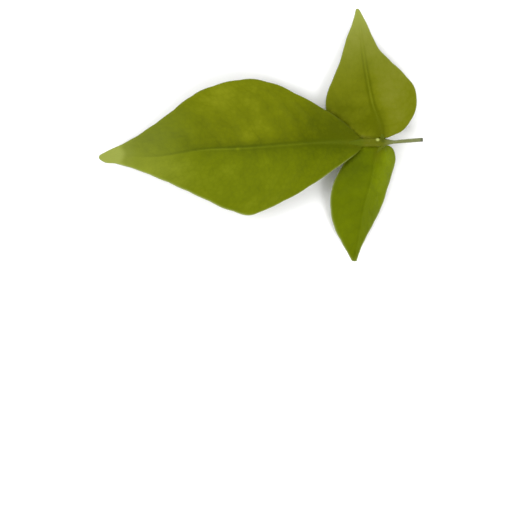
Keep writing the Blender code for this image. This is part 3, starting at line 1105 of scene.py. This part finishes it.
def stalk_section(share, turn):
    """A stalk's round section with a shallow channel above and low ribs along its fibres.

    Depths and heights are shares of the radius, and share is the way from the cut end. The
    joint is a little broader than it is high.
    """
    channel = 0.13 * bell(turn - math.pi / 2, 0.42) * ramp(share, 0.02, 0.1)
    ribs = 0.022 * np.cos(9 * turn + 2.5 * share) + 0.012 * np.cos(17 * turn - 4.0 * share)
    knots = 0.03 * np.sin(23 * share * math.pi) * np.cos(turn - 1.0) * np.sin(3.3 * share + 0.4)
    broad = 0.17 * np.cos(turn) ** 2 * ramp(share, 0.5, 0.6) * (1 - ramp(share, 0.85, 1.0))
    return 1 - channel + ribs + knots + broad


def foot_section(share, turn):
    """A leaflet's own short stalk, creased across where it can turn."""
    creases = 0.02 * np.cos(2 * math.pi * 5 * share) * ramp(share, 0.2, 0.4)
    return 1 + creases + 0.02 * np.cos(7 * turn)


def make_stalk(skin, cut):
    """The stalk with its cut end and the short stalks of the side leaflets."""
    points, grid, faces, axis, heading = tube(
        STALK_ROUTE, STALK_RINGS, STALK_SIDES, stalk_section, 0
    )
    all_points = [points.reshape(-1, 3)]
    total = len(all_points[0])
    pith = [np.zeros(total)]
    green = [np.zeros(total)]
    kinds = [0] * len(faces)

    # The cut is a little dished and uneven: rings that step in towards its middle.
    before = grid[0]
    centre = axis[0]
    turn = np.linspace(0, 2 * math.pi, STALK_SIDES, endpoint=False)
    for step, share in enumerate(CUT_RINGS):
        uneven = CUT_UNEVENNESS * np.cos(3 * turn + step)
        depth = CUT_DISH * (1 - share) + uneven
        ring = centre + (points[0] - centre) * share + depth[:, None] * heading[0]
        here = total + np.arange(STALK_SIDES)
        for k in range(STALK_SIDES):
            n = (k + 1) % STALK_SIDES
            faces.append([int(here[k]), int(here[n]), int(before[n]), int(before[k])])
            kinds.append(1)
        all_points.append(ring)
        pith.append(np.full(STALK_SIDES, 1 - share if share < PITH_SHARE else 0.0))
        green.append(np.zeros(STALK_SIDES))
        before = here
        total += STALK_SIDES
    faces.append([int(i) for i in before])
    kinds.append(1)
    faces.append([int(i) for i in grid[-1][::-1]])
    kinds.append(0)

    for route in (RIGHT_FOOT_ROUTE, LEFT_FOOT_ROUTE):
        foot, rings, sides, _, _ = tube(route, FOOT_RINGS, FOOT_SIDES, foot_section, total)
        faces += sides + [[int(i) for i in rings[0]], [int(i) for i in rings[-1][::-1]]]
        kinds += [0] * (len(sides) + 2)
        count = FOOT_RINGS * FOOT_SIDES
        all_points.append(foot.reshape(-1, 3))
        pith.append(np.zeros(count))
        turning_green = ramp(np.linspace(0.0, 1.0, FOOT_RINGS), *FOOT_GREEN)
        green.append(np.repeat(turning_green, FOOT_SIDES))
        total += count

    body = np.concatenate(all_points)
    x, y = body[:, 0], body[:, 1]
    # The pad's mask lifts a small swelling on the joint and places the painted glint on it.
    from_pad = body - np.array(GLINT_PAD_PLACE)
    pad = 1 - ramp(np.hypot(from_pad[:, 0] / GLINT_PAD_STRETCH, from_pad[:, 1]), *GLINT_PAD_EDGE)
    pad = pad * (from_pad[:, 2] > -GLINT_PAD_REACH)
    body[:, 2] += GLINT_PAD_HEIGHT * pad
    marks = {
        "pith": np.concatenate(pith),
        "glint_pad": pad,
        "foot_green": np.concatenate(green),
        "blade_green": 1 - ramp(x, *BLADE_GREEN),
        # Painted shade at the joint, on the side towards the right leaflet.
        "joint": bell(x - JOINT_SHADE_PLACE, JOINT_SHADE_REACH) * ramp(y, *JOINT_SHADE_SIDE),
        "dried_end": ramp(x, *DRIED_END),
    }
    return finish_piece("leafstalk", body, faces, [skin, cut], kinds, marks)


# The leaf

lower_face = lower_leaf_face()
for leaflet in (TERMINAL, RIGHT, LEFT):
    blade = make_blade(leaflet, upper_leaf_face(leaflet), lower_face)
    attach(blade, "root")
    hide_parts(leaflet.name + "_leaflet")

stalk = make_stalk(stalk_skin(), cut_face())
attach(stalk, "root")
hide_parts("stalk")


# The table, the light and the camera

def studio_floor():
    """A smooth matt white table top, wide enough to fill the view."""
    mesh = bpy.data.meshes.new("table_top")
    square = ((-1, -1), (1, -1), (1, 1), (-1, 1))
    corners = [(x * TABLE_REACH, y * TABLE_REACH, 0) for x, y in square]
    mesh.from_pydata(corners, [], [(0, 1, 2, 3)])
    floor = bpy.data.objects.new("table_top", mesh)
    bpy.context.scene.collection.objects.link(floor)
    material, tree = blank_material("white_laminate")
    finish = {"Base Color": linear("#FAFAFA"), "Roughness": LAMINATE_ROUGHNESS}
    laminate = add(tree, "ShaderNodeBsdfPrincipled", finish, "BSDF")
    add(tree, "ShaderNodeOutputMaterial", {"Surface": laminate})
    mesh.materials.append(material)


def soft_box(name, place, side, power):
    """A square soft light that faces the middle of the leaf."""
    light = bpy.data.lights.new(name, "AREA")
    light.shape = "SQUARE"
    light.size = side
    light.energy = power
    box = bpy.data.objects.new(name, light)
    box.location = place
    box.rotation_euler = (-Vector(place)).to_track_quat("-Z", "Y").to_euler()
    bpy.context.scene.collection.objects.link(box)


def studio_surroundings():
    """White walls all round that fade to a dim ceiling, so that the leaf's wax stays clear."""
    world = bpy.data.worlds.new("studio")
    world.use_nodes = True
    tree = world.node_tree
    direction = add(tree, "ShaderNodeTexCoord", out="Generated")
    upward = add(tree, "ShaderNodeSeparateXYZ", (direction,), "Z")
    light = add(tree, "ShaderNodeMapRange", (upward, *WALL_FADE, 1.0, CEILING_LIGHT))
    background = tree.nodes["Background"]
    background.inputs["Color"].default_value = (1.0, 1.0, 1.0, 1.0)
    tree.links.new(light, background.inputs["Strength"])
    bpy.context.scene.world = world


def studio_camera():
    """Straight above the middle of the photograph, whose frame it repeats."""
    camera = bpy.data.cameras.new("camera")
    camera.sensor_width = SENSOR_WIDTH
    camera.lens = SENSOR_WIDTH * CAMERA_DISTANCE / (PHOTO_SIDE_PX * MM_PER_PX)
    camera.clip_start = 0.01
    camera.clip_end = 10.0
    middle = PHOTO_SIDE_PX / 2
    x = (middle - LEAF_CENTRE_PX[0]) * MM_PER_PX
    y = (LEAF_CENTRE_PX[1] - middle) * MM_PER_PX
    stand = bpy.data.objects.new("camera", camera)
    stand.location = (x * MM, y * MM, (CAMERA_DISTANCE + LEAF_MIDDLE_HEIGHT) * MM)
    bpy.context.scene.collection.objects.link(stand)
    bpy.context.scene.camera = stand


studio_floor()
for name, place, side, power in SOFT_BOXES:
    soft_box(name, place, side, power)
studio_surroundings()
bpy.context.scene.view_settings.view_transform = "Standard"
studio_camera()
